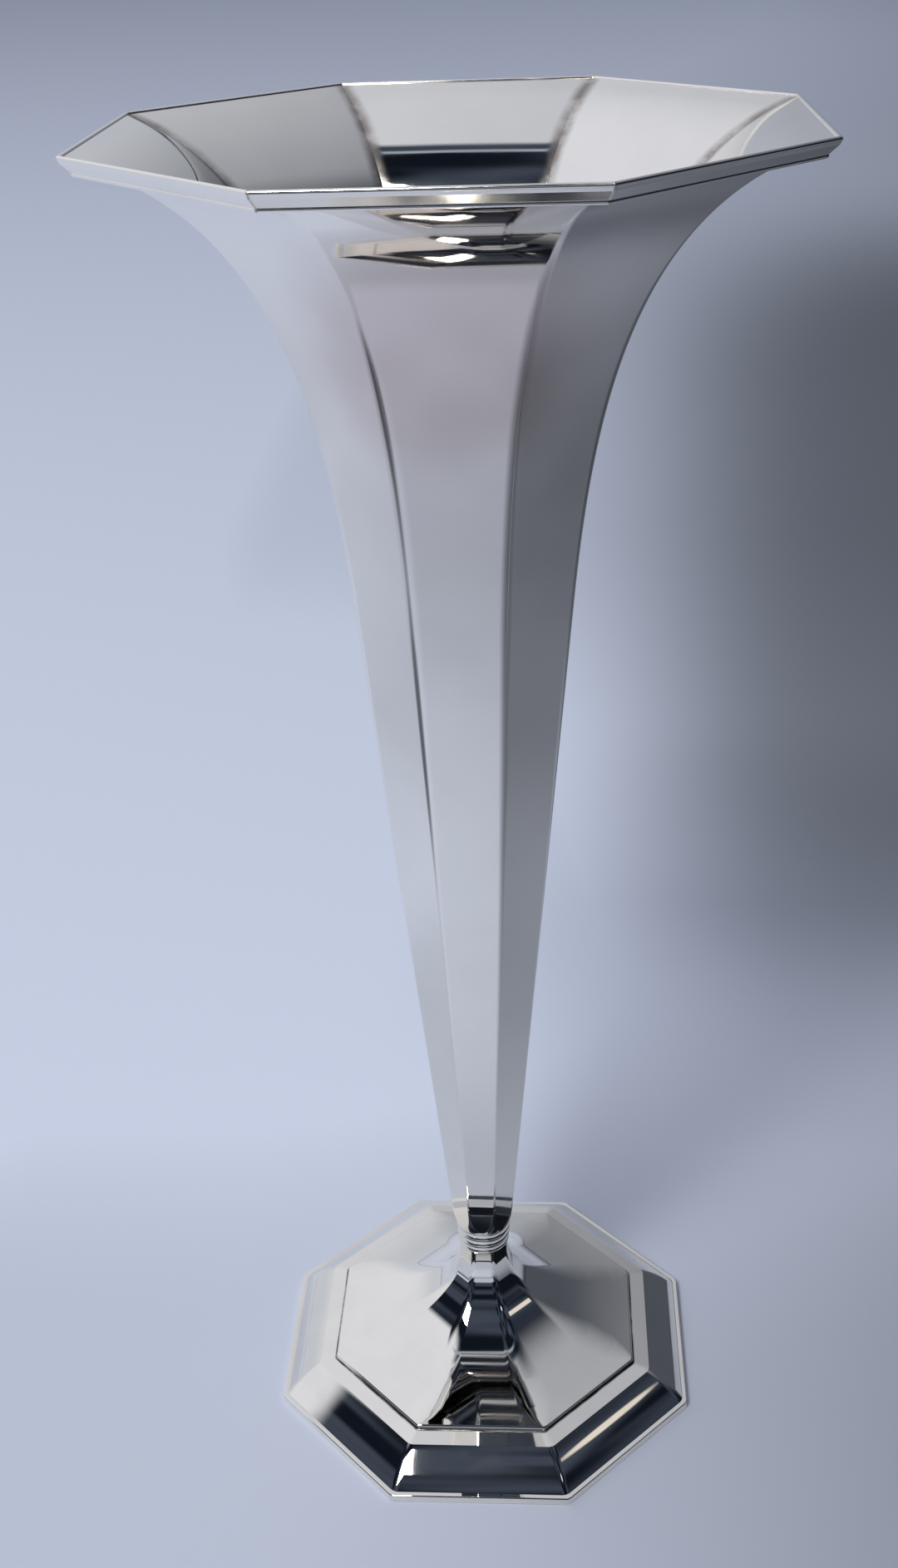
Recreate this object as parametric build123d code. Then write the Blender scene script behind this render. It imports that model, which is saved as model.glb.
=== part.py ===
from build123d import *
import os
from math import atan, atan2, cos, degrees, radians, sin, tan

# An eight-sided trumpet vase in sheet silver, in millimetres, standing on z = 0 with its axis on Z.
# A half section is drawn as (distance from the axis to the middle of a flat, height).

# Whole vase
height = 406.0
mouth_flats = 176.2
foot_flats = 137.0
wall = 0.9
clearance = 0.15

# Body: a straight taper, then one flare that ends in a flat land under the lip
taper_bottom_flats = 20.8
taper_top_flats = 59.4
flare_height = 121.0
flare_pull_low = 51.0
flare_pull_high = 42.7
rim_land = 4.2
rim_land_angle = 20.6

# Rim moulding: a round lip, a groove, a sloping face and a lower bead
lip_radius = 0.6
lip_end_angle = -50.0
strip_cover = 0.5
strip_face = 3.1
strip_face_angle = 45.0
strip_bead = 1.1
strip_bead_bulge = 0.45

# Round bottom of the body
cup_height = 12.5
cup_bottom_d = 18.0
cup_floor = 1.2
cup_spigot_height = 4.0

# Reeded collar
collar_height = 9.0
collar_top_d = 17.2
collar_bottom_d = 15.6
collar_reeds = 3
reed_bulge = 0.55
collar_bore_d = 10.0
collar_spigot_height = 4.0

# Foot: neck, concave dome, step, ledge and a shallow ovolo
neck_flats = 15.8
neck_rise = 34.6
neck_pull = 10.5
dome_pull = 42.5
dome_edge_angle = 16.5
step_height = 1.5
step_batter = 0.3
ledge_width = 5.5
ledge_drop = 0.9
ovolo_width = 11.2
ovolo_height = 8.9
ovolo_bulge = 0.5

# Base band
band_height = 2.6
band_step = 1.6
band_width = 7.0
band_corner_radius = 3.0
band_upstand_height = 1.6
band_upstand_width = 1.0

side_names = (
    "front", "front_right", "right", "back_right", "back", "back_left", "left", "front_left",
)
sides = len(side_names)
side_angle = 360 / sides
front_angle = -90

# Heights of the joints, from the floor up
dome_edge_z = band_height + ovolo_height + ledge_drop + step_height
neck_top = dome_edge_z + neck_rise
collar_top = neck_top + collar_height
body_bottom = collar_top + cup_height


def along(angle):
    """Unit vector of a half section, at an angle above the outward direction."""
    return Vector(cos(radians(angle)), sin(radians(angle)))


# Points that the body and the rim moulding share
lip_centre = Vector(mouth_flats / 2 - lip_radius, height - lip_radius)
land_out = along(rim_land_angle)
land_in = along(rim_land_angle + 90)
edge_inside = lip_centre - Vector(lip_radius, 0)
edge_outside = edge_inside - land_in * wall
land_start = edge_outside - land_out * rim_land

# Points that the body and its round bottom share
taper_foot = Vector(taper_bottom_flats / 2, body_bottom)
taper_head = Vector(taper_top_flats / 2, height - flare_height)
taper_up = (taper_head - taper_foot).normalized()
taper_in = Vector(-taper_up.Y, taper_up.X)
taper_foot_inside = taper_foot - Vector(wall / taper_up.Y, 0)
corner_stretch = 1 / cos(radians(side_angle / 2))

# Points that the foot and its band share: the ovolo is a shallow arc, and its angles are those it faces
ovolo_foot = Vector(foot_flats / 2 - band_step, band_height)
ledge_end = ovolo_foot + Vector(-ovolo_width, ovolo_height)
ovolo_angle = degrees(atan2(ovolo_width, ovolo_height))
ovolo_half_turn = degrees(2 * atan(2 * ovolo_bulge / (ledge_end - ovolo_foot).length))
ovolo_out = along(ovolo_angle) * ovolo_bulge
ledge_up = Vector(ledge_drop, ledge_width - step_batter).normalized()
ovolo_up = along(ovolo_angle + ovolo_half_turn)
ledge_end_inside = ledge_end - (ledge_up + ovolo_up) * wall / (1 + ledge_up.dot(ovolo_up))
ovolo_foot_inside = ovolo_foot - Vector(wall / along(ovolo_angle - ovolo_half_turn).X, 0)


def bulged(start, end, bulge):
    """An arc whose middle stands off the straight line by the vector bulge."""
    return ThreePointArc(start, (start + end) / 2 + bulge, end)


def facet(section):
    """A half section drawn out along one flat and mitred to both neighbours, facing +X."""
    half_side = mouth_flats * tan(radians(side_angle / 2))
    corners = [(0, 0), (mouth_flats, -half_side), (mouth_flats, half_side)]
    mitre = extrude(make_face(Polyline(corners, close=True)), amount=2 * height)
    return extrude(Plane.XZ * section, amount=mouth_flats, both=True) & mitre


def turned(section):
    """A half section turned round the vase's axis."""
    return revolve(Plane.XZ * section, axis=Axis.Z)


def octagon(flats):
    """An eight-sided outline with a flat towards +X."""
    return RegularPolygon(flats / 2, sides, major_radius=False, rotation=side_angle / 2)


def panel_section():
    """The body's sheet: straight taper, flare and flat land, one wall thick."""
    head_inside = taper_head + taper_in * wall
    land_inside = land_start + land_in * wall
    low = taper_up * flare_pull_low
    high = land_out * flare_pull_high
    return make_face([
        Line(taper_foot, taper_head),
        Bezier(taper_head, taper_head + low, land_start - high, land_start),
        Line(land_start, edge_outside),
        Line(edge_outside, edge_inside),
        Line(edge_inside, land_inside),
        Bezier(land_inside, land_inside - high, head_inside + low, head_inside),
        Line(head_inside, taper_foot_inside),
        Line(taper_foot_inside, taper_foot),
    ])


def rim_section():
    """The rim moulding: it covers the sheet's edge and lies flat under its land."""
    lip_end = lip_centre + along(lip_end_angle) * lip_radius
    lip_top = lip_centre + Vector(0, lip_radius)
    down = along(180 + strip_face_angle)
    outwards = along(strip_face_angle - 90)
    groove = edge_outside + outwards * strip_cover
    bead_start = groove + down * strip_face
    bead_end = bead_start + down * strip_bead
    return make_face([
        Line(land_start, edge_outside),
        Line(edge_outside, edge_inside),
        ThreePointArc(edge_inside, lip_top, lip_end),
        Line(lip_end, groove),
        Line(groove, bead_start),
        bulged(bead_start, bead_end, outwards * strip_bead_bulge),
        Line(bead_end, land_start),
    ])


def body_cup():
    """The bottom of the body: eight-sided at its shoulder, round below, with a spigot up inside."""
    bottom_flats = taper_bottom_flats - 2 * cup_height * taper_up.X / taper_up.Y
    top_outline = Pos(0, 0, body_bottom) * octagon(taper_bottom_flats)
    bottom_outline = Pos(0, 0, collar_top) * octagon(bottom_flats)
    eight_sided = loft([bottom_outline, top_outline])

    corner_top = Vector(taper_foot.X * corner_stretch, body_bottom)
    corner_down = Vector(-taper_up.X * corner_stretch, -taper_up.Y)
    bottom_edge = Vector(cup_bottom_d / 2, collar_top)
    rounded = turned(make_face([
        TangentArc(corner_top, bottom_edge, tangent=corner_down),
        Polyline(bottom_edge, (0, collar_top), (0, body_bottom), corner_top),
    ]))

    spigot_radius = taper_foot_inside.X - clearance
    spigot_top = body_bottom + cup_spigot_height
    spigot = Pos(0, 0, body_bottom) * extrude(Circle(spigot_radius), amount=cup_spigot_height)
    floor_z = collar_top + cup_floor
    hollow = turned(make_face(Polyline(
        (0, floor_z),
        (cup_bottom_d / 2 - cup_floor, floor_z),
        (spigot_radius - wall, body_bottom),
        (spigot_radius - wall, spigot_top),
        (0, spigot_top),
        close=True,
    )))
    return (eight_sided & rounded) + spigot - hollow


def collar():
    """The reeded ring between body and foot, with a spigot down inside the neck."""
    reed_height = collar_height / collar_reeds
    reed_step = (collar_top_d - collar_bottom_d) / 2 / collar_reeds
    reeds = []
    for reed in range(collar_reeds):
        low = Vector(collar_bottom_d / 2 + reed * reed_step, neck_top + reed * reed_height)
        high = low + Vector(reed_step, reed_height)
        reeds.append(bulged(low, high, Vector(reed_bulge, 0)))
    bore_radius = collar_bore_d / 2
    spigot_radius = neck_flats / 2 - wall - clearance
    spigot_bottom = neck_top - collar_spigot_height
    return turned(make_face(reeds + [
        Polyline(
            (collar_top_d / 2, collar_top),
            (bore_radius, collar_top),
            (bore_radius, spigot_bottom),
            (spigot_radius, spigot_bottom),
            (spigot_radius, neck_top),
            (collar_bottom_d / 2, neck_top),
        ),
    ]))


def foot_section():
    """The stamped foot: neck and dome in one sweep, step, ledge and ovolo, one wall thick."""
    dome_edge = Vector(ledge_end.X - ledge_width, dome_edge_z)
    dome_up = along(180 - dome_edge_angle)
    dome_edge_inside = dome_edge - Vector(wall, wall * (1 - dome_up.Y) / -dome_up.X)
    step_foot = dome_edge + Vector(step_batter, -step_height)
    neck = Vector(neck_flats / 2, neck_top)
    neck_inside = neck - Vector(wall, 0)
    high = Vector(0, neck_pull)
    low = dome_up * dome_pull
    return make_face([
        Bezier(neck, neck - high, dome_edge + low, dome_edge),
        Polyline(dome_edge, step_foot, ledge_end),
        bulged(ledge_end, ovolo_foot, ovolo_out),
        Line(ovolo_foot, ovolo_foot_inside),
        bulged(ovolo_foot_inside, ledge_end_inside, ovolo_out),
        Polyline(ledge_end_inside, step_foot - Vector(wall, wall), dome_edge_inside),
        Bezier(dome_edge_inside, dome_edge_inside + low, neck_inside - high, neck_inside),
        Line(neck_inside, neck),
    ])


def foot():
    """The eight facets of the foot in one sheet."""
    section = foot_section()
    facets = [Rot(0, 0, side_angle * side) * facet(section) for side in range(sides)]
    return facets[0] + facets[1:]


def base_band():
    """The flat band that the vase stands on, with an upstand that clears the sloping ovolo."""
    outline = fillet(octagon(foot_flats).vertices(), band_corner_radius)
    inside = octagon(foot_flats - 2 * band_width)
    slope = (ledge_end_inside - ovolo_foot_inside) / (ledge_end_inside.Y - ovolo_foot_inside.Y)
    upstand_flats = 2 * (ovolo_foot_inside.X + slope.X * band_upstand_height - clearance)
    upstand = octagon(upstand_flats) - octagon(upstand_flats - 2 * band_upstand_width)
    raised = Pos(0, 0, band_height) * extrude(upstand, amount=band_upstand_height)
    return extrude(outline - inside, amount=band_height) + raised


os.makedirs("parts", exist_ok=True)
panel = facet(panel_section())
rim_strip = facet(rim_section())
for side, side_name in enumerate(side_names):
    turn = Rot(0, 0, front_angle + side_angle * side)
    export_step(turn * panel, f"parts/panel_{side_name}.step")
    export_step(turn * rim_strip, f"parts/rim_strip_{side_name}.step")
export_step(body_cup(), "parts/body_cup.step")
export_step(collar(), "parts/collar.step")
export_step(foot(), "parts/foot.step")
export_step(base_band(), "parts/base_band.step")
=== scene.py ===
import bpy
import numpy as np
from math import cos, pi, radians, sin, tan
from mathutils import Matrix, Vector


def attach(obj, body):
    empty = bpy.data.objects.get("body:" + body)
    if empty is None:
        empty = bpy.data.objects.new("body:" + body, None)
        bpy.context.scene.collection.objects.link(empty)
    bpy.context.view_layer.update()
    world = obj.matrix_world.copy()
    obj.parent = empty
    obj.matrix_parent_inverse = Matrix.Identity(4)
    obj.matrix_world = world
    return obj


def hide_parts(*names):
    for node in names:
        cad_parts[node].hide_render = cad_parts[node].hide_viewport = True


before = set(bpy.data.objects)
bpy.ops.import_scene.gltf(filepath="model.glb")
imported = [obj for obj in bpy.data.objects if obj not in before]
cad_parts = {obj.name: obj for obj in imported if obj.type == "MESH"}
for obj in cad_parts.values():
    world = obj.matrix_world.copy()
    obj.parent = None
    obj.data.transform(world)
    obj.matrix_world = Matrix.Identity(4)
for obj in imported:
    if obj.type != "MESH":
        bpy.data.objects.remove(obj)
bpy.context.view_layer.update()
scene = bpy.context.scene

# Lengths of the vase are in millimetres, as on its drawing, and become metres when a mesh is made.
# A section is drawn as (distance from the axis to the middle of a flat, height).
MM = 0.001
SIDES = ("front", "front_right", "right", "back_right", "back", "back_left", "left", "front_left")
HALF = pi / len(SIDES)
SLANT = tan(HALF)

# Whole vase: its heights, its sheet, and the spigots that fit one part into the next
HEIGHT = 406.0
BODY_BOTTOM = 70.0
COLLAR_TOP = 57.5
NECK_TOP = 48.5
BAND_TOP = 2.6
WALL = 0.9
SPIGOT = 4.0
CLEARANCE = 0.15

# Body: a straight taper, the handles of its flare, a flat land, and the rounding of its corners by height
MOUTH = 88.1
TAPER_FOOT = np.array([10.4, BODY_BOTTOM])
TAPER_HEAD = np.array([29.7, 285.0])
FLARE_PULL_LOW = 51.0
FLARE_PULL_HIGH = 42.7
LAND = 4.2
LAND_ANGLE = 20.6
BODY_CORNERS = {70: 1.0, 110: 1.4, 200: 2.5, 285: 5.5, 340: 6.0, 370: 5.0, 404: 1.2}
BODY_INSIDE_CORNER = 0.7

# Rim moulding: a round lip, a groove, a sloping face and a lower bead
LIP = 0.6
LIP_END = -50
GROOVE = 0.5
GROOVE_RADIUS = 0.15
FACE = 3.1
FACE_ANGLE = 45
BEAD = 1.1
BEAD_TURN = 78.7
RIM_CORNER = 0.7

# Round bottom of the body: how far its turned form swells, and how soft the edge of each flat is
CUP_BOTTOM = 9.0
CUP_FLOOR = 1.2
CUP_SWELL = 0.62
CUP_EDGE = 0.06

# Collar: three reeds, each a little wider than the one below
REEDS = 3
REED = 3.0
REED_BULGE = 0.55
REED_STEP = 0.2667
COLLAR_FOOT = 7.8
BORE = 5.0

# Foot: a neck and dome in one sweep, a step, a ledge and an ovolo, and the rounding of the foot's corners
# by the distance from the axis
NECK = 7.9
NECK_PULL = 10.5
DOME_PULL = 42.5
DOME_ANGLE = 16.5
DOME_EDGE = np.array([50.2, 13.9])
DOME_EDGE_RADIUS = 0.8
DOME_START = 1.2
STEP_FOOT = np.array([50.5, 12.4])
STEP_FOOT_RADIUS = 0.3
LEDGE_END = np.array([55.7, 11.5])
LEDGE_END_IN = np.array([55.385, 10.64])
OVOLO_FOOT = np.array([66.9, BAND_TOP])
OVOLO_ANGLE = 51.53
OVOLO_TURN = 8.0
FOOT_CORNERS = {
    7.9: 3.0, 10: 3.5, 14: 4.5, 24: 8.0, 36: 16.0, 44: 15.0, 48: 9.0,
    50.2: 2.5, 50.5: 1.5, 56: 3.5, 66.9: 4.0,
}

# Base band: its upstand, the easing of its edges from the underside round, and its corners as on the foot
BAND_OUT = 68.5
BAND_MIDDLE = 66.0
BAND_IN = 61.5
UPSTAND = 63.46
UPSTAND_WIDTH = 1.0
UPSTAND_TOP = 4.2
BAND_EASING = (0.3, 0.5, 0.05, 0.1, 0.1, 0.05, 0.1, 0.2)
BAND_CORNERS = {62: 0.6, 64: 0.6, 66: 1.6, 68.5: 3.0}

# An arc takes at most this share of the shorter side at its corner
ARC_SHARE = 0.45

# Stands for the distance to a seam where no seam holds any dirt
FAR = 20.0


# Runs of a section: each is (points, directions), and the runs of a loop go anticlockwise round the metal

def unit(angle):
    """Direction at an angle above the outward direction of a section."""
    return np.array([cos(radians(angle)), sin(radians(angle))])


def straight(p, q, steps=1):
    """Points spread evenly from p to q, all with the one direction."""
    p, q = np.array(p, float), np.array(q, float)
    share = np.linspace(0, 1, steps + 1)[:, None]
    way = (q - p) / np.linalg.norm(q - p)
    return p + (q - p) * share, np.repeat([way], steps + 1, axis=0)


def ellipse(centre, radii, start, stop, steps):
    """Centre plus (r1 cos w, r2 sin w) for w from start to stop, in degrees."""
    w = np.radians(np.linspace(start, stop, steps + 1))[:, None]
    r1, r2 = radii
    points = np.array(centre, float) + np.hstack([r1 * np.cos(w), r2 * np.sin(w)])
    way = np.hstack([-r1 * np.sin(w), r2 * np.cos(w)]) * np.sign(stop - start)
    return points, way / np.linalg.norm(way, axis=1)[:, None]


def bulged(p, q, angle, turn, steps):
    """Arc from p to q that faces angle - turn at p and angle + turn at q."""
    radius = np.linalg.norm(q - p) / (2 * sin(radians(abs(turn))))
    centre = (p + q) / 2 - unit(angle) * radius * cos(radians(turn))
    return ellipse(centre, (radius, radius), angle - turn, angle + turn, steps)


def curve(p0, p1, p2, p3, steps):
    """Cubic curve from p0 to p3 with the handles p1 and p2."""
    s = np.linspace(0, 1, steps + 1)[:, None]
    t = 1 - s
    points = t ** 3 * p0 + 3 * t ** 2 * s * p1 + 3 * t * s ** 2 * p2 + s ** 3 * p3
    way = t ** 2 * (p1 - p0) + 2 * t * s * (p2 - p1) + s ** 2 * (p3 - p2)
    return points, way / np.linalg.norm(way, axis=1)[:, None]


def rounded(points, radii, steps):
    """A line through the points whose inner corners are arcs of those radii, tangent to both sides."""
    points = [np.array(p, float) for p in points]
    runs, here = [], points[0]
    for before, corner, after, r in zip(points, points[1:], points[2:], radii):
        back, on = before - corner, after - corner
        shorter = min(np.linalg.norm(back), np.linalg.norm(on))
        u, v = back / np.linalg.norm(back), on / np.linalg.norm(on)
        half = np.arccos(np.clip(u @ v, -1, 1)) / 2
        r = min(r, ARC_SHARE * np.tan(half) * shorter)
        begin, end = corner + u * r / np.tan(half), corner + v * r / np.tan(half)
        centre = corner + (u + v) / np.linalg.norm(u + v) * r / np.sin(half)
        first = np.degrees(np.arctan2(*(begin - centre)[::-1]))
        turn = (np.degrees(np.arctan2(*(end - centre)[::-1])) - first + 180) % 360 - 180
        runs += [straight(here, begin), ellipse(centre, (r, r), first, first + turn, steps)]
        here = end
    return runs + [straight(here, points[-1])]


def loop(runs):
    """Joins runs into a closed section: its points, and each edge's direction at its start and end."""
    points = np.vstack([p[:-1] for p, _ in runs])
    start = np.vstack([t[:-1] for _, t in runs])
    end = np.vstack([t[1:] for _, t in runs])
    return points, start, end


def looked_up(places, table):
    """Sizes at some places of a table, with straight lines between its entries."""
    return np.interp(places, list(table), list(table.values()))


# Plans: where a section goes along one side, as a share of the flat and an angle round the corner

def side_plan(across, corner):
    """The corner's half arc, the flat from end to end, and the half arc of the next corner."""
    arc = np.sin(np.linspace(0, pi / 2, corner + 1)[1:]) * HALF
    share = np.concatenate([-np.ones(corner), np.linspace(-1, 1, across + 1), np.ones(corner)])
    angle = np.concatenate([-arc[::-1], np.zeros(across + 1), arc])
    return share, angle


def round_plan(across):
    """An eighth of a circle."""
    return np.zeros(across + 1), np.linspace(-HALF, HALF, across + 1)


def carry(section, corner, plan, sides):
    """Carries a closed section along the given sides.

    A point of the section goes to (a - r)(1, share x tan 22.5) + r (cos angle, sin angle) in the plan of
    its side, where a is its distance from the axis and r the corner radius there. With e = (cos, sin)
    and g = cos angle + share x tan 22.5 x sin angle, the surface's normal is
    (z' e, -(a' g + r' (1 - g))), where a', z' and r' change along the section.
    Gives the points on a grid, the normals at both ends of each step along the section, and the
    distance to the nearest corner plane.
    """
    points, start, end = section
    a, z = points.T
    r = np.minimum(np.broadcast_to(corner, a.shape), a)
    after = np.roll(np.arange(len(a)), -1)
    r_slope = (r[after] - r) / np.linalg.norm(points[after] - points, axis=1)
    share, angle = plan
    e = np.stack([np.cos(angle), np.sin(angle)])
    g = e[0] + share * SLANT * e[1]
    x = np.outer(a - r, np.ones_like(share)) + np.outer(r, e[0])
    y = np.outer(a - r, share * SLANT) + np.outer(r, e[1])
    grid = np.stack([x, y, np.outer(z, np.ones_like(share))], axis=-1)
    seam = x * sin(HALF) - np.abs(y) * cos(HALF)

    def normal(way):
        up = -(np.outer(way[:, 0], g) + np.outer(r_slope, 1 - g))
        n = np.stack([np.outer(way[:, 1], e[0]), np.outer(way[:, 1], e[1]), up], axis=-1)
        return n / np.linalg.norm(n, axis=-1)[..., None]

    n_start, n_end = normal(start), normal(end)
    grids = []
    for side in sides:
        w = -pi / 2 + side * 2 * HALF
        turn = np.array([[cos(w), sin(w), 0], [-sin(w), cos(w), 0], [0, 0, 1]])
        grids.append([grid @ turn, n_start @ turn, n_end @ turn, seam])
    if len(sides) == 1:
        return grids[0]
    return [np.concatenate([part[:, :-1] for part in parts], axis=1) for parts in zip(*grids)]


# Meshes: a ring closes on itself, a strip ends at two mitres, and a bowl has a flat bottom and floor
RING, STRIP, BOWL = "ring", "strip", "bowl"


def caps(points, shape):
    """The flat faces that close a grid: their point numbers, and the direction that each one faces.

    A bowl's faces look down and up. A mitre faces across the line from the axis to a point on it.
    """
    rows, columns = points.shape[:2]
    number = np.arange(rows * columns).reshape(rows, columns)
    if shape == RING:
        return []
    if shape == BOWL:
        return [(number[0, ::-1], (0, 0, -1)), (number[-1], (0, 0, 1))]
    faced = []
    for end, way in ((number[::-1, 0], 1), (number[:, -1], -1)):
        outwards = points.reshape(-1, 3)[end[rows // 4]] * (1, 1, 0)
        mitre = np.cross(outwards, (0, 0, way))
        faced.append((end, mitre / np.linalg.norm(mitre)))
    return faced


def make_piece(name, grid, material, nodes, shape=RING):
    """Turns a carried section into a closed mesh with its own normals, and puts it on the vase."""
    points, n_start, n_end, seam = grid
    rows, columns = points.shape[:2]
    k = np.arange(rows - 1 if shape == BOWL else rows)[:, None]
    m = np.arange(columns - 1 if shape == STRIP else columns)[None, :]
    k2, m2 = (k + 1) % rows, (m + 1) % columns
    corners = [row * columns + column for row, column in ((k, m), (k, m2), (k2, m2), (k2, m))]
    faces = np.stack(np.broadcast_arrays(*corners), axis=-1).reshape(-1, 4).tolist()
    normals = np.stack([n_start[k, m], n_start[k, m2], n_end[k, m2], n_end[k, m]], axis=2).reshape(-1, 3)
    for cap, outwards in caps(points, shape):
        faces.append(cap.tolist())
        normals = np.vstack([normals, np.repeat([outwards], len(cap), axis=0)])
    mesh = bpy.data.meshes.new(name)
    mesh.from_pydata((points.reshape(-1, 3) * MM).tolist(), [], faces)
    mesh.polygons.foreach_set("use_smooth", np.ones(len(faces), bool))
    from_seam = mesh.attributes.new("seam", "FLOAT", "POINT")
    from_seam.data.foreach_set("value", seam.ravel().astype(np.float32))
    mesh.normals_split_custom_set(normals.tolist())
    mesh.materials.append(material)
    piece = bpy.data.objects.new(name, mesh)
    scene.collection.objects.link(piece)
    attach(piece, "root")
    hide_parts(*nodes)


# Sections of the vase, from the places that its parts share
TAPER_UP = (TAPER_HEAD - TAPER_FOOT) / np.linalg.norm(TAPER_HEAD - TAPER_FOOT)
TAPER_IN = np.array([-TAPER_UP[1], TAPER_UP[0]])
TAPER_FOOT_IN = TAPER_FOOT - (WALL / TAPER_UP[1], 0)
LIP_CENTRE = np.array([MOUTH - LIP, HEIGHT - LIP])
LAND_IN = unit(LAND_ANGLE + 90)
EDGE_INSIDE = LIP_CENTRE - (LIP, 0)
EDGE_OUTSIDE = EDGE_INSIDE - LAND_IN * WALL
LAND_START = EDGE_OUTSIDE - unit(LAND_ANGLE) * LAND
OVOLO_FOOT_IN = OVOLO_FOOT - (WALL / unit(OVOLO_ANGLE - OVOLO_TURN)[0], 0)


def panel_section():
    """Straight taper, one flare and a flat land, with the inside line one wall away.

    Gives the section, its corner radii, and which of its points are on the outside.
    """
    low, high = TAPER_UP * FLARE_PULL_LOW, unit(LAND_ANGLE) * FLARE_PULL_HIGH
    head_in = TAPER_HEAD + TAPER_IN * WALL
    land_in = LAND_START + LAND_IN * WALL
    outside = [
        straight(TAPER_FOOT, TAPER_HEAD, steps=12),
        curve(TAPER_HEAD, TAPER_HEAD + low, LAND_START - high, LAND_START, steps=64),
        straight(LAND_START, EDGE_OUTSIDE),
        straight(EDGE_OUTSIDE, EDGE_INSIDE),
    ]
    inside = [
        straight(EDGE_INSIDE, land_in),
        curve(land_in, land_in - high, head_in + low, head_in, steps=64),
        straight(head_in, TAPER_FOOT_IN, steps=12),
        straight(TAPER_FOOT_IN, TAPER_FOOT),
    ]
    section = loop(outside + inside)
    heights = section[0][:, 1]
    is_outside = np.arange(len(heights)) < len(loop(outside)[0])
    corner = np.where(is_outside, looked_up(heights, BODY_CORNERS), BODY_INSIDE_CORNER)
    return section, corner, is_outside


def rim_section():
    """Land, lower bead, sloping face, groove, round lip, and the seat round the sheet's edge."""
    outwards, down = unit(-FACE_ANGLE), unit(180 + FACE_ANGLE)
    groove = EDGE_OUTSIDE + outwards * GROOVE
    bead_start = groove + down * FACE
    bead_end = bead_start + down * BEAD
    lip_end = LIP_CENTRE + unit(LIP_END) * LIP
    return loop([
        straight(LAND_START, bead_end),
        bulged(bead_end, bead_start, -FACE_ANGLE, BEAD_TURN, steps=10),
        *rounded([bead_start, groove, lip_end], [GROOVE_RADIUS], steps=5),
        ellipse(LIP_CENTRE, (LIP, LIP), LIP_END, 180, steps=16),
        straight(EDGE_INSIDE, EDGE_OUTSIDE),
        straight(EDGE_OUTSIDE, LAND_START),
    ])


def cup_grid(across, up):
    """Eight flats that fade into a turned form, as on a sharpened pencil.

    The radius is the softened minimum of the octagon's a / cos(angle from the flat's middle) and the
    turned radius, and both taper to the collar. The inside is turned. A normal is the cross product of
    the steps round the cup and along its section.
    """
    rise = np.linspace(0, 1, up + 1)
    z_out = COLLAR_TOP + (BODY_BOTTOM - COLLAR_TOP) * rise
    flat = TAPER_FOOT[0] - (BODY_BOTTOM - z_out) * TAPER_UP[0] / TAPER_UP[1]
    shoulder = TAPER_FOOT[0] / cos(HALF)
    turned = CUP_BOTTOM + (shoulder - CUP_BOTTOM) * ((1 + CUP_SWELL) * rise - CUP_SWELL * rise ** 2)
    angle = np.linspace(-HALF, HALF, across + 1)[:-1]
    eight = flat[:, None] / np.cos(angle)
    gap = np.clip(0.5 + (turned[:, None] - eight) / (2 * CUP_EDGE), 0, 1)
    r_out = turned[:, None] * (1 - gap) + eight * gap - CUP_EDGE * gap * (1 - gap)
    spigot = TAPER_FOOT_IN[0] - CLEARANCE
    spigot_top = BODY_BOTTOM + SPIGOT
    inner = np.array([
        (spigot, BODY_BOTTOM), (spigot, spigot_top), (spigot - WALL, spigot_top),
        (spigot - WALL, BODY_BOTTOM), (CUP_BOTTOM - CUP_FLOOR, COLLAR_TOP + CUP_FLOOR),
    ])
    r = np.vstack([r_out, np.repeat(inner[:, :1], across, axis=1)])
    z = np.repeat(np.concatenate([z_out, inner[:, 1]])[:, None], across, axis=1)
    turns = [angle - pi / 2 + side * 2 * HALF for side in range(len(SIDES))]
    points = np.concatenate([np.stack([r * np.cos(w), r * np.sin(w), z], -1) for w in turns], axis=1)
    ahead = np.roll(points, -1, axis=0) - points
    round_it = np.roll(points, -1, axis=1) - np.roll(points, 1, axis=1)
    n_edge = np.cross(round_it, ahead)
    n_mid = np.cross(round_it, ahead + np.roll(ahead, 1, axis=0))
    n_start, n_end = n_edge.copy(), n_edge.copy()
    n_start[1:up] = n_mid[1:up]
    n_end[:up - 1] = n_mid[1:up]
    for n in (n_start, n_end):
        n /= np.linalg.norm(n, axis=-1)[..., None]
    return points, n_start, n_end, np.full(points.shape[:2], FAR)


def collar_section():
    """Half-round reeds, one above the other, with a bore and a spigot down into the neck."""
    runs = []
    for reed in range(REEDS):
        middle = np.array([COLLAR_FOOT + (reed + 0.5) * REED_STEP, NECK_TOP + (reed + 0.5) * REED])
        if reed:
            runs.append(straight(runs[-1][0][-1], middle - (0, REED / 2)))
        runs.append(ellipse(middle, (REED_BULGE, REED / 2), -90, 90, steps=14))
    spigot = NECK - WALL - CLEARANCE
    spigot_bottom = NECK_TOP - SPIGOT
    first, last = runs[0][0][0], runs[-1][0][-1]
    corners = [
        last, (BORE, COLLAR_TOP), (BORE, spigot_bottom), (spigot, spigot_bottom), (spigot, NECK_TOP), first,
    ]
    return loop(runs + [straight(p, q) for p, q in zip(corners, corners[1:])])


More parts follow.
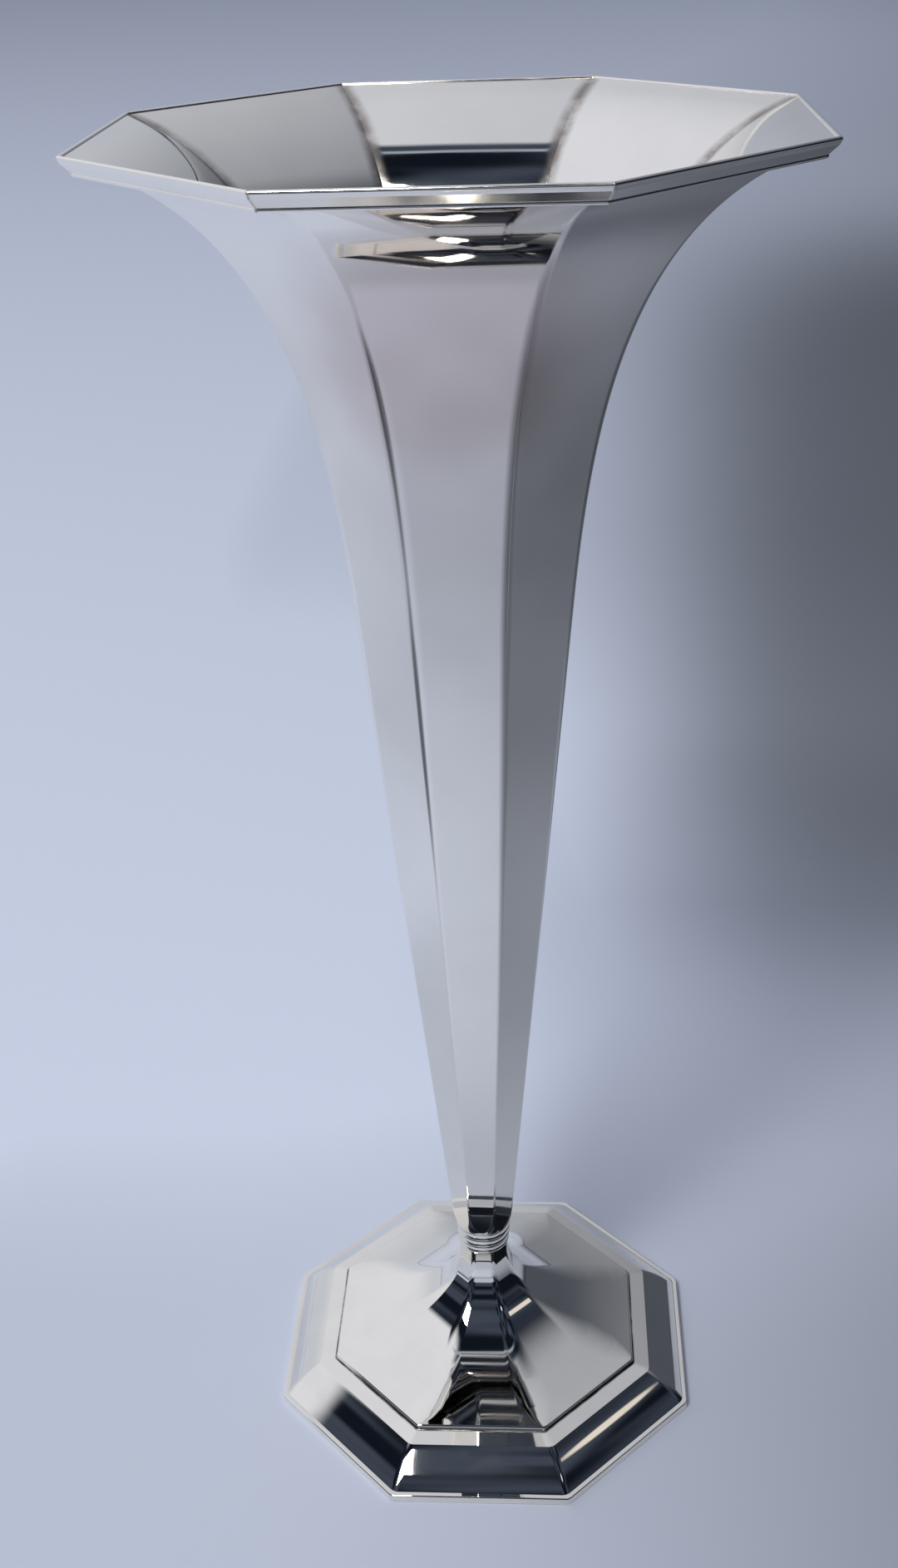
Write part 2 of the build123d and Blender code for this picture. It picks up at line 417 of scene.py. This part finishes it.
def foot_section():
    """Neck, concave dome, step, ledge and shallow ovolo, with the inside line one wall away."""
    up = unit(180 - DOME_ANGLE)
    neck = np.array([NECK, NECK_TOP])
    neck_in = neck - (WALL, 0)
    edge_in = DOME_EDGE - (WALL, WALL * (1 - up[1]) / -up[0])
    step_in = STEP_FOOT - (WALL, WALL)
    dome_start = DOME_EDGE + up * DOME_START
    step_radii = (STEP_FOOT_RADIUS, DOME_EDGE_RADIUS)
    drop = np.array([0, NECK_PULL])
    section = loop([
        bulged(OVOLO_FOOT, LEDGE_END, OVOLO_ANGLE, OVOLO_TURN, steps=28),
        *rounded([LEDGE_END, STEP_FOOT, DOME_EDGE, dome_start], step_radii, steps=6),
        curve(dome_start, DOME_EDGE + up * DOME_PULL, neck - drop, neck, steps=72),
        straight(neck, neck_in),
        curve(neck_in, neck_in - drop, edge_in + up * DOME_PULL, edge_in, steps=48),
        straight(edge_in, step_in),
        straight(step_in, LEDGE_END_IN),
        bulged(LEDGE_END_IN, OVOLO_FOOT_IN, OVOLO_ANGLE, -OVOLO_TURN, steps=16),
        straight(OVOLO_FOOT_IN, OVOLO_FOOT),
    ])
    return section, looked_up(section[0][:, 0], FOOT_CORNERS)


def band_section():
    """A flat band with eased edges, and an upstand that sits inside the foot."""
    upstand_in = UPSTAND - UPSTAND_WIDTH
    underside = (BAND_MIDDLE, 0)
    corners = [
        underside, (BAND_OUT, 0), (BAND_OUT, BAND_TOP), (UPSTAND, BAND_TOP), (UPSTAND, UPSTAND_TOP),
        (upstand_in, UPSTAND_TOP), (upstand_in, BAND_TOP), (BAND_IN, BAND_TOP), (BAND_IN, 0), underside,
    ]
    section = loop(rounded(corners, BAND_EASING, steps=4))
    return section, looked_up(section[0][:, 0], BAND_CORNERS)


# Materials: the kinds of node that are used most, with their settings
SMOOTH = {"kind": "ShaderNodeMapRange", "interpolation_type": "SMOOTHSTEP"}
TIMES = {"kind": "ShaderNodeMath", "operation": "MULTIPLY"}
MIX = {"kind": "ShaderNodeMix", "data_type": "RGBA"}
NOISE = {"kind": "ShaderNodeTexNoise"}


def colour(code):
    """sRGB hex to the linear colour that the shader works in."""
    c = np.array([int(code[i:i + 2], 16) for i in (1, 3, 5)]) / 255
    return (*np.where(c <= 0.04045, c / 12.92, ((c + 0.055) / 1.055) ** 2.4), 1.0)


def node(tree, inputs, kind, out=None, **settings):
    """Adds a node with its settings, sets or links its inputs by place or name, and gives one output."""
    made = tree.nodes.new(kind)
    for key, value in settings.items():
        setattr(made, key, value)
    shown = [socket for socket in made.inputs if socket.enabled]
    for key, value in inputs.items() if isinstance(inputs, dict) else enumerate(inputs):
        socket = made.inputs[key] if isinstance(key, str) else shown[key]
        if isinstance(value, bpy.types.NodeSocket):
            tree.links.new(value, socket)
        else:
            socket.default_value = value
    return made.outputs[out] if out else next(socket for socket in made.outputs if socket.enabled)


def smooth_steps(tree, *steps):
    """Product of smooth changes, each (value, start, end) or (value, start, end, first, last).

    A change goes from first to last, or else from 0 to 1, while its value goes from start to end. With s
    the share of the way, it is first + (last - first)(3 s^2 - 2 s^3).
    """
    product = None
    for step in steps:
        change = node(tree, step, **SMOOTH)
        product = change if product is None else node(tree, (product, change), **TIMES)
    return product


# Finish of the silver: sizes of the clouds in its shine, the breaks in a line of film, the patches of the
# warm tint and the buffing swells, how strong they are, and where the warm tint lies
CLOUD = 26.3 * MM
BREAK = 7.7 * MM
PATCH = 58.8 * MM
SWELL = 41.7 * MM
NOISE_ROUGHNESS = 0.6
CLOUD_FILM = 0.06
BREAK_LEAST = 0.45
PATCH_LEAST = 0.1
WARM_BAND_FOOT = (285 * MM, 330 * MM)
WARM_BAND_HEAD = (385 * MM, 350 * MM)
WARM_TINT = "#cbbdb8"
SPOT = (0.0, -50 * MM, 366 * MM)
SPOT_REACH = (48 * MM, 20 * MM)
SPOT_STRENGTH = 2.2
LINE_CORE = 0.1
FILM_ROUGHNESS = 0.22


def polished_silver(name, clean, film, line_width, smooth, hazy, warm_share, swell):
    """Sterling sheet, hammered, filed and buffed: a mirror that is never quite even.

    The buffing leaves slow swells some 40 mm long and cloudy patches where the shine is duller. A film
    stays where the cloth doesn't reach, along the soldered corners, and the foot is darkened along its
    step.
    A warm, darker tint is mixed into the colour under the lip, most of all in one spot at the front.
    """
    material = bpy.data.materials.new(name)
    material.use_nodes = True
    tree = material.node_tree
    place = node(tree, (), "ShaderNodeTexCoord", "Object")
    height = node(tree, (place,), "ShaderNodeSeparateXYZ", "Z")
    seam = node(tree, (), "ShaderNodeAttribute", "Fac", attribute_name="seam")
    clouds, breaks, patches, swells = (
        node(tree, (place, 1 / size, detail, NOISE_ROUGHNESS), **NOISE)
        for size, detail in ((CLOUD, 4.0), (BREAK, 3.0), (PATCH, 2.0), (SWELL, 1.0))
    )

    line = smooth_steps(tree, (seam, line_width, LINE_CORE), (breaks, 0.3, 0.65, BREAK_LEAST, 1.0))
    dull = smooth_steps(tree, (clouds, 0.35, 0.75, 0.0, CLOUD_FILM))
    amount = node(tree, (line, dull), "ShaderNodeMath", operation="MAXIMUM")
    # A warm, darker tint mixed into the colour between these heights, in patches, and strongest in a spot
    # at the front.
    under_lip = (height, *WARM_BAND_FOOT), (height, *WARM_BAND_HEAD)
    warm_band = smooth_steps(tree, *under_lip, (patches, 0.35, 0.65, PATCH_LEAST, 1.0))
    reach = node(tree, (place, SPOT), "ShaderNodeVectorMath", operation="DISTANCE")
    spot = smooth_steps(tree, (reach, *SPOT_REACH, 0.0, SPOT_STRENGTH * warm_share))
    warmth = node(tree, (warm_band, warm_share, spot), "ShaderNodeMath", operation="MULTIPLY_ADD")
    buffed = node(tree, (warmth, colour(clean), colour(WARM_TINT)), **MIX)
    base = node(tree, (amount, buffed, colour(film)), **MIX)
    sheen = smooth_steps(tree, (clouds, 0.4, 0.7, smooth, hazy))
    rough = node(tree, (amount, FILM_ROUGHNESS, sheen), "ShaderNodeMath", operation="MULTIPLY_ADD")
    bump = node(tree, {"Height": swells, "Strength": 1.0, "Distance": swell * MM}, "ShaderNodeBump")

    shader = tree.nodes["Principled BSDF"]
    shader.inputs["Metallic"].default_value = 1.0
    tree.links.new(base, shader.inputs["Base Color"])
    tree.links.new(rough, shader.inputs["Roughness"])
    tree.links.new(bump, shader.inputs["Normal"])
    return material


# The body has wide lines of film and the warm tint, the rim is worn duller, and the foot's line along its
# step is nearly black.
# Line widths and swells are in millimetres.
BODY_SILVER = polished_silver(
    "polished_sheet_silver", clean="#f6f3ec", film="#9d948c",
    line_width=3.6, smooth=0.02, hazy=0.045, warm_share=0.3, swell=0.16,
)
RIM_SILVER = polished_silver(
    "polished_wire_silver", clean="#f8f4ec", film="#d5ccbe",
    line_width=0.6, smooth=0.10, hazy=0.18, warm_share=0.0, swell=0.05,
)
FOOT_SILVER = polished_silver(
    "stamped_silver", clean="#f7f3ea", film="#3c3630",
    line_width=0.7, smooth=0.015, hazy=0.035, warm_share=0.0, swell=0.08,
)

# Pieces: the film lies along the inside corners of the body and the mitres of the rim, and the foot darkens
# along its step
all_sides = range(len(SIDES))
panel, panel_corner, panel_outside = panel_section()
strip = rim_section()
for number, side in enumerate(SIDES):
    grid = carry(panel, panel_corner, side_plan(across=12, corner=8), [number])
    grid[3] = np.where(panel_outside[:, None], FAR, grid[3])
    make_piece(f"panel_{side}_sheet", grid, BODY_SILVER, [f"panel_{side}"], STRIP)
    grid = carry(strip, RIM_CORNER, side_plan(across=8, corner=5), [number])
    make_piece(f"rim_strip_{side}_sheet", grid, RIM_SILVER, [f"rim_strip_{side}"], STRIP)
make_piece("body_cup_shell", cup_grid(across=16, up=32), BODY_SILVER, ["body_cup"], BOWL)
collar_grid = carry(collar_section(), HEIGHT, round_plan(across=16), all_sides)
collar_grid[3] = np.full_like(collar_grid[3], FAR)
make_piece("collar_ring", collar_grid, FOOT_SILVER, ["collar"])
foot, foot_corner = foot_section()
foot_grid = carry(foot, foot_corner, side_plan(across=12, corner=10), all_sides)
from_step = np.linalg.norm(foot[0] - STEP_FOOT, axis=1)
foot_grid[3] = np.repeat(from_step[:, None], foot_grid[3].shape[1], axis=1)
make_piece("foot_shell", foot_grid, FOOT_SILVER, ["foot"])
band_grid = carry(*band_section(), side_plan(across=8, corner=8), all_sides)
band_grid[3] = np.full_like(band_grid[3], FAR)
make_piece("base_band_ring", band_grid, FOOT_SILVER, ["base_band"])

# Floor, in metres
FLOOR_SIDE = 3.5
FLOOR_NEAR = -0.75
FLOOR_FAR = 9.0
VIEWER = -0.69
LEAST_DISTANCE = 0.5
# Centre of a painted shadow patch on the paper at the front left
PAINTED_SHADOW_CENTRE = (-0.36, -0.16, 0.0)
# Centre of a painted pool of light on the paper at the right
PAINTED_LIGHT_CENTRE = (0.4, 0.0, 0.0)


def paper_with_painted_light():
    """Matt blue-grey paper with light and shade painted into its colour, falling off towards the viewer and
    the right.

    The painted light and shade is a product of smooth changes from one factor to another, among them a
    painted shadow of the vase at the back right, a painted shadow patch at the front left and painted pools
    of light at the right and the far left. Across is the sideways place as a share of the distance from the
    viewer.
    """
    material = bpy.data.materials.new("paper_with_painted_light")
    material.use_nodes = True
    tree = material.node_tree
    place = node(tree, (), "ShaderNodeTexCoord", "Object")
    x, y = (node(tree, (place,), "ShaderNodeSeparateXYZ", axis) for axis in "XY")
    away = node(tree, (y, VIEWER), "ShaderNodeMath", operation="SUBTRACT")
    away = node(tree, (away, LEAST_DISTANCE), "ShaderNodeMath", operation="MAXIMUM")
    across = node(tree, (x, away), "ShaderNodeMath", operation="DIVIDE")
    from_painted_shadow = node(tree, (place, PAINTED_SHADOW_CENTRE), "ShaderNodeVectorMath", operation="DISTANCE")
    from_painted_light = node(tree, (place, PAINTED_LIGHT_CENTRE), "ShaderNodeVectorMath", operation="DISTANCE")
    # Painted light: the paper's far left is painted lighter.
    painted_light_far_left = smooth_steps(tree, (across, 0.1, -0.15), (y, 2.0, 5.0))
    # Painted shadow: the vase's shadow, painted darker on the paper to the right behind the vase.
    painted_shadow_right = smooth_steps(tree, (across, -0.04, 0.19), (y, 0.08, 0.45), (y, 2.6, 1.2))
    # Painted shadow: a soft dark patch painted on the paper at the front left.
    painted_shadow_patch = smooth_steps(tree, (from_painted_shadow, 0.21, 0.03))
    # Painted light: a soft pool of light painted on the paper at the right.
    painted_light_patch = smooth_steps(tree, (from_painted_light, 0.27, 0.03))
    # The paper's painted light and shade: a product of factors by place.
    painted_light_and_shade = smooth_steps(
        tree,
        (y, -0.75, -0.2, 0.35, 1.0),
        (y, -0.09, -0.14, 1.0, 1.2),
        (y, 0.0, 0.24, 0.82, 1.22),
        (y, 0.3, 0.85, 1.0, 0.74),
        (y, 1.5, 5.0, 1.0, 1.42),
        (x, -0.18, -0.28, 1.0, 1.2),
        (across, -0.15, 0.6, 1.0, 0.22),
        (across, -0.35, -0.6, 1.0, 0.78),
        (painted_light_far_left, 0.0, 1.0, 1.0, 1.25),
        (painted_shadow_right, 0.0, 1.0, 1.0, 0.33),
        (painted_shadow_patch, 0.0, 1.0, 1.0, 0.2),
        (painted_light_patch, 0.0, 1.0, 1.0, 1.6),
    )
    shader = tree.nodes["Principled BSDF"]
    base = node(tree, (painted_light_and_shade, colour("#0a1018"), colour("#ced5e6")), **MIX)
    tree.links.new(base, shader.inputs["Base Color"])
    shader.inputs["Roughness"].default_value = 0.9
    shader.inputs["Specular IOR Level"].default_value = 0.1
    return material


floor_mesh = bpy.data.meshes.new("floor")
near_edge = [(-FLOOR_SIDE, FLOOR_NEAR, 0), (FLOOR_SIDE, FLOOR_NEAR, 0)]
far_edge = [(FLOOR_SIDE, FLOOR_FAR, 0), (-FLOOR_SIDE, FLOOR_FAR, 0)]
floor_mesh.from_pydata(near_edge + far_edge, [], [(0, 1, 2, 3)])
floor_mesh.materials.append(paper_with_painted_light())
floor = bpy.data.objects.new("floor", floor_mesh)
scene.collection.objects.link(floor)

# Room: soft and bright on the left, dim on the right, with a dark drape in front of the vase and two small
# lights, each as azimuth, elevation and radius in degrees, and colour. A light's edge is in shares of its
# radius.
DRAPE_BOW = 0.22
DRAPE_FOLDS = 5.0
GLOW_OUTER = 1.3
GLOW_INNER = 0.7
GLOWS = ((85, 41, 1.8, "#e8e0d8"), (42, 48, 2.5, "#ffffff"))


def aim(azimuth, elevation):
    """Direction from the vase, with the azimuth counted to the right of the front."""
    a, e = radians(azimuth), radians(elevation)
    return Vector((sin(a) * cos(e), -cos(a) * cos(e), sin(e)))


def room_colour(tree):
    """The room's colour by direction: layers laid over each other, each inside its own soft edges.

    Depth is how far a direction points to the back, less a share of how far it points aside, so that the
    edge of the drape bows back at the sides. Slant cuts the drape off at its left end.
    """
    way = node(tree, (), "ShaderNodeTexCoord", "Generated")
    x, y, z = (node(tree, (way,), "ShaderNodeSeparateXYZ", axis) for axis in "XYZ")
    aside = node(tree, (x,), "ShaderNodeMath", operation="ABSOLUTE")
    depth = node(tree, (aside, -DRAPE_BOW, y), "ShaderNodeMath", operation="MULTIPLY_ADD")
    slant = node(tree, (y, x), "ShaderNodeMath", operation="SUBTRACT")
    folds = node(tree, (way, DRAPE_FOLDS, 1.0), **NOISE)
    dim, pale, drape = (
        node(tree, (smooth_steps(tree, change), colour(first), colour(last)), **MIX)
        for change, first, last in (
            ((z, 0.45, 0.9), "#4c515c", "#a4a8b3"),
            ((z, 0.1, 0.35), "#c8cedb", "#dfe2ed"),
            ((folds, 0.42, 0.68), "#10151f", "#3f4757"),
        )
    )
    front = (depth, -0.07, -0.12), (slant, 0.79, 0.775)
    skyline = (z, 0.13, 0.07), (z, -0.1, -0.06), (aside, 0.5, 0.2)
    rail = (depth, -0.15, -0.165), (depth, -0.19, -0.175), (aside, 0.4, 0.2)
    layers = [
        (pale, (x, 0.6, -0.5)),
        (colour("#2a303c"), (x, 0.1, 0.4), (depth, 0.15, -0.1)),
        (drape, *front),
        (colour("#b4bccb"), *front, *skyline),
        (pale, (x, -0.12, -0.28), (z, 0.8, 0.9), (y, -0.25, -0.1)),
        (colour("#10141c"), (x, 0.8, 0.92), (z, 0.45, 0.3)),
        (colour("#9aa3b0"), *rail),
    ]
    for azimuth, elevation, size, shade in GLOWS:
        toward = aim(azimuth, elevation)
        nearness = node(tree, (way, toward), "ShaderNodeVectorMath", operation="DOT_PRODUCT")
        edge = (nearness, cos(radians(size * GLOW_OUTER)), cos(radians(size * GLOW_INNER)))
        layers.append((colour(shade), edge))
    room = dim
    for shade, *edges in layers:
        room = node(tree, (smooth_steps(tree, *edges), room, shade), **MIX)
    return room


world = bpy.data.worlds.new("studio")
world.use_nodes = True
scene.world = world
background = world.node_tree.nodes["Background"]
world.node_tree.links.new(room_colour(world.node_tree), background.inputs["Color"])

# Window: a wide soft box at the front left, high up, that faces the vase, in metres and watts
WINDOW_SIZE = (3.1, 2.2)
WINDOW_DISTANCE = 7.0
WINDOW_POWER = 400
lamp = bpy.data.lights.new("window", "AREA")
lamp.shape = "RECTANGLE"
lamp.size, lamp.size_y = WINDOW_SIZE
lamp.energy = WINDOW_POWER
window = bpy.data.objects.new("window", lamp)
scene.collection.objects.link(window)
toward = aim(azimuth=-29, elevation=53)
rise = Vector((0, toward.z, -toward.y)).normalized()
window.matrix_world = Matrix((rise.cross(toward), rise, toward)).transposed().to_4x4()
window.location = toward * WINDOW_DISTANCE

# Camera: a hand-held view from a little above, fitted to the rim and the foot in the picture
SENSOR = 36
PICTURE_HEIGHT = 1886
FOCAL_PIXELS = 2075
CAMERA_PLACE = Vector((23.48, -441.8, 464.69)) * MM
yaw, pitch, roll = radians(-3.868), radians(28.516), radians(-2.035)
ahead = Vector((sin(yaw) * cos(pitch), cos(yaw) * cos(pitch), -sin(pitch)))
level = Vector((cos(yaw), -sin(yaw), 0))
upright = level.cross(ahead)
right = level * cos(roll) + upright * sin(roll)
above = upright * cos(roll) - level * sin(roll)
eye = bpy.data.cameras.new("camera")
eye.sensor_width = SENSOR
eye.lens = FOCAL_PIXELS / PICTURE_HEIGHT * SENSOR
eye.clip_start, eye.clip_end = 0.01, 100
camera = bpy.data.objects.new("camera", eye)
scene.collection.objects.link(camera)
camera.matrix_world = Matrix((right, above, -ahead)).transposed().to_4x4()
camera.location = CAMERA_PLACE
scene.camera = camera
scene.view_settings.view_transform = "Standard"
